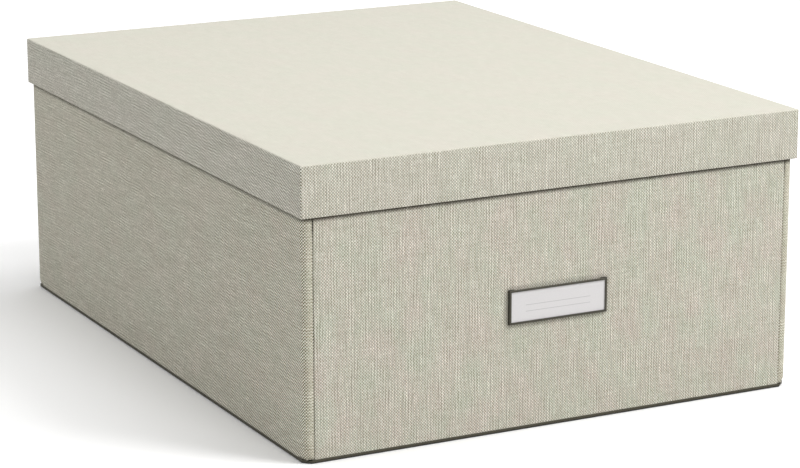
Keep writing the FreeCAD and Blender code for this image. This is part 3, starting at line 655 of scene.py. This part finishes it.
def lid_cover():
    flat_x, flat_y = LID_HALF_X - LID_ROUND, LID_HALF_Y - LID_ROUND
    grid_x = [flat_x * (2 * step / LID_COLUMNS - 1) for step in range(LID_COLUMNS + 1)]
    grid_y = [flat_y * (2 * step / LID_ROWS - 1) for step in range(LID_ROWS + 1)]
    profile = lid_profile()
    lengths = running_length([(inset, height, 0) for inset, height in profile])

    def top(x, y):
        return ((x, y, LID_TOP + cloth_swell(x, y, LID_TOP, LID_SWELL)), (x, y))

    faces = []
    for left, right in zip(grid_x, grid_x[1:]):
        for near, far in zip(grid_y, grid_y[1:]):
            faces.append([top(left, near), top(right, near), top(right, far), top(left, far)])

    def side_faces(grid, flat_out, turned, on_cloth):
        """One rim. turned takes a place seen from the front side to its own side."""
        turns = [math.pi / 4 * step / LID_CORNER_STEPS for step in range(LID_CORNER_STEPS + 1)]
        spots = [(grid[0], -turn) for turn in reversed(turns)]
        spots += [(along, 0.0) for along in grid[1:-1]] + [(grid[-1], turn) for turn in turns]

        def spot(along, turn, up):
            inset, height = profile[up]
            radius, back = max(LID_ROUND - inset, 0.0), max(inset - LID_ROUND, 0.0)
            centre = math.copysign(abs(along) - back, along) if abs(along) == grid[-1] else along
            place = turned(centre + math.sin(turn) * radius, -(flat_out - back + math.cos(turn) * radius))
            swell = cloth_swell(*place, LID_TOP, LID_SWELL) if up == 0 else 0.0
            return ((*place, height + swell), on_cloth(along + turn * LID_ROUND, -(flat_out + lengths[up])))

        for first, second in zip(spots, spots[1:]):
            for row in range(len(profile) - 1):
                ring = ((first, row + 1), (second, row + 1), (second, row), (first, row))
                faces.append([spot(*along, up) for along, up in ring])

    side_faces(grid_x, flat_y, lambda x, y: (x, y), lambda run, out: (run, out))
    side_faces(grid_x, flat_y, lambda x, y: (-x, -y), lambda run, out: (-run, -out))
    side_faces(grid_y, flat_x, lambda x, y: (y, -x), lambda run, out: (out, -run))
    side_faces(grid_y, flat_x, lambda x, y: (-y, x), lambda run, out: (-out, run))
    return sheet_mesh("lid_canvas", faces, lid_cloth, CLOTH)


lid_canvas = lid_cover()
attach(lid_canvas, "lid")
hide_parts("lid_cover")

# Floor and light. A plain white sheet of paper lies under the box. The key lamp, large and soft, stands in
# front of it to the right, so that the shadow falls to the left. Three weaker lamps and a pale sky fill in.

floor_mesh = bpy.data.meshes.new("floor")
FLOOR_REACH = 12.0
floor_ends = [(x * FLOOR_REACH, y * FLOOR_REACH, 0) for x, y in ((-1, -1), (1, -1), (1, 1), (-1, 1))]
floor_mesh.from_pydata(floor_ends, [], [(0, 1, 2, 3)])
floor = bpy.data.objects.new("floor", floor_mesh)
bpy.context.scene.collection.objects.link(floor)
floor_paper, tree, shader = new_finish("white floor paper", 1.0, Specular_IOR_Level=0.0)
seen = shade(tree, "LightPath")
to_eye = maths(tree, "MAXIMUM", seen.outputs["Is Camera Ray"], seen.outputs["Is Glossy Ray"])
tree.links.new(mixed(tree, to_eye, colour(200, 199, 196), colour(255, 255, 255)), shader.inputs["Base Color"])
# Behind the box and far from it the sheet glows to the camera and in reflections: painted light, so the
# picture's ground stays white.
place = object_place(tree)
away = shade(tree, "VectorMath", {0: place}, operation="LENGTH").outputs["Value"]
NEAR_GLOW, FAR_GLOW, REAR_GLOW = (0.7, 2.0, 0.0, 0.35), (1.6, 4.0, 0.0, 0.6), (0.25, 0.38, 0.0, 0.15)
glow = maths(tree, "ADD", spread(tree, away, *NEAR_GLOW), spread(tree, away, *FAR_GLOW))
to_rear = shade(tree, "SeparateXYZ", {0: place}).outputs[1]
glow = maths(tree, "ADD", glow, spread(tree, to_rear, *REAR_GLOW))
glow = maths(tree, "MULTIPLY", glow, to_eye)
tree.links.new(glow, shader.inputs["Emission Strength"])
shader.inputs["Emission Color"].default_value = (1.0, 1.0, 1.0, 1.0)
floor_mesh.materials.append(floor_paper)

world = bpy.data.worlds.new("studio")
bpy.context.scene.world = world
world.use_nodes = True
tree = world.node_tree
sky = next(item for item in tree.nodes if item.type == "BACKGROUND")
seen = shade(tree, "LightPath")
to_eye = maths(tree, "MAXIMUM", seen.outputs["Is Camera Ray"], seen.outputs["Is Glossy Ray"])
SKY = 0.34
tree.links.new(maths(tree, "MULTIPLY_ADD", to_eye, 1.0 - SKY, SKY), sky.inputs["Strength"])
sky.inputs["Color"].default_value = (1.0, 1.0, 1.0, 1.0)


def lamp(name, place, target, size, power):
    light = bpy.data.lights.new(name, "AREA")
    light.shape = "DISK"
    light.size = size
    light.energy = power
    made = bpy.data.objects.new(name, light)
    bpy.context.scene.collection.objects.link(made)
    aim = Vector(target) - Vector(place)
    made.matrix_world = Matrix.Translation(place) @ aim.to_track_quat("-Z", "Y").to_matrix().to_4x4()
    return made


AIM = (0, 0, 0.1)
lamp("key", (1.3, -1.5, 2.0), AIM, 1.15, 48)
lamp("overhead", (0.3, 0.2, 2.4), AIM, 1.8, 27)
lamp("front fill", (-0.2, -2.6, 1.4), AIM, 1.4, 13)
lamp("left fill", (-2.2, 0.9, 1.3), AIM, 1.6, 13.5)

# Camera. It stands in front of the box on its left side, looks down a little, and uses a long lens.
# Its place, angles and lens were worked out from the box's straight edges.

LENS, SENSOR = 129.787, 36.0
EYE = (-0.868729, -1.710556, 0.561721)
YAW, PITCH, ROLL = math.radians(27.145), math.radians(14.363), math.radians(-0.082)
camera_data = bpy.data.cameras.new("camera")
camera_data.lens, camera_data.sensor_width = LENS, SENSOR
camera = bpy.data.objects.new("camera", camera_data)
bpy.context.scene.collection.objects.link(camera)
forward = Vector((math.sin(YAW) * math.cos(PITCH), math.cos(YAW) * math.cos(PITCH), -math.sin(PITCH)))
right = Vector((math.cos(YAW), -math.sin(YAW), 0.0))
down = forward.cross(right)
image_right = math.cos(ROLL) * right - math.sin(ROLL) * down
image_up = -(math.sin(ROLL) * right + math.cos(ROLL) * down)
axes = Matrix((image_right, image_up, -forward)).transposed()
camera.matrix_world = Matrix.Translation(EYE) @ axes.to_4x4()
camera_data.clip_start, camera_data.clip_end = 0.05, 100.0
bpy.context.scene.camera = camera
bpy.context.scene.view_settings.view_transform = "Standard"

bpy.context.view_layer.update()
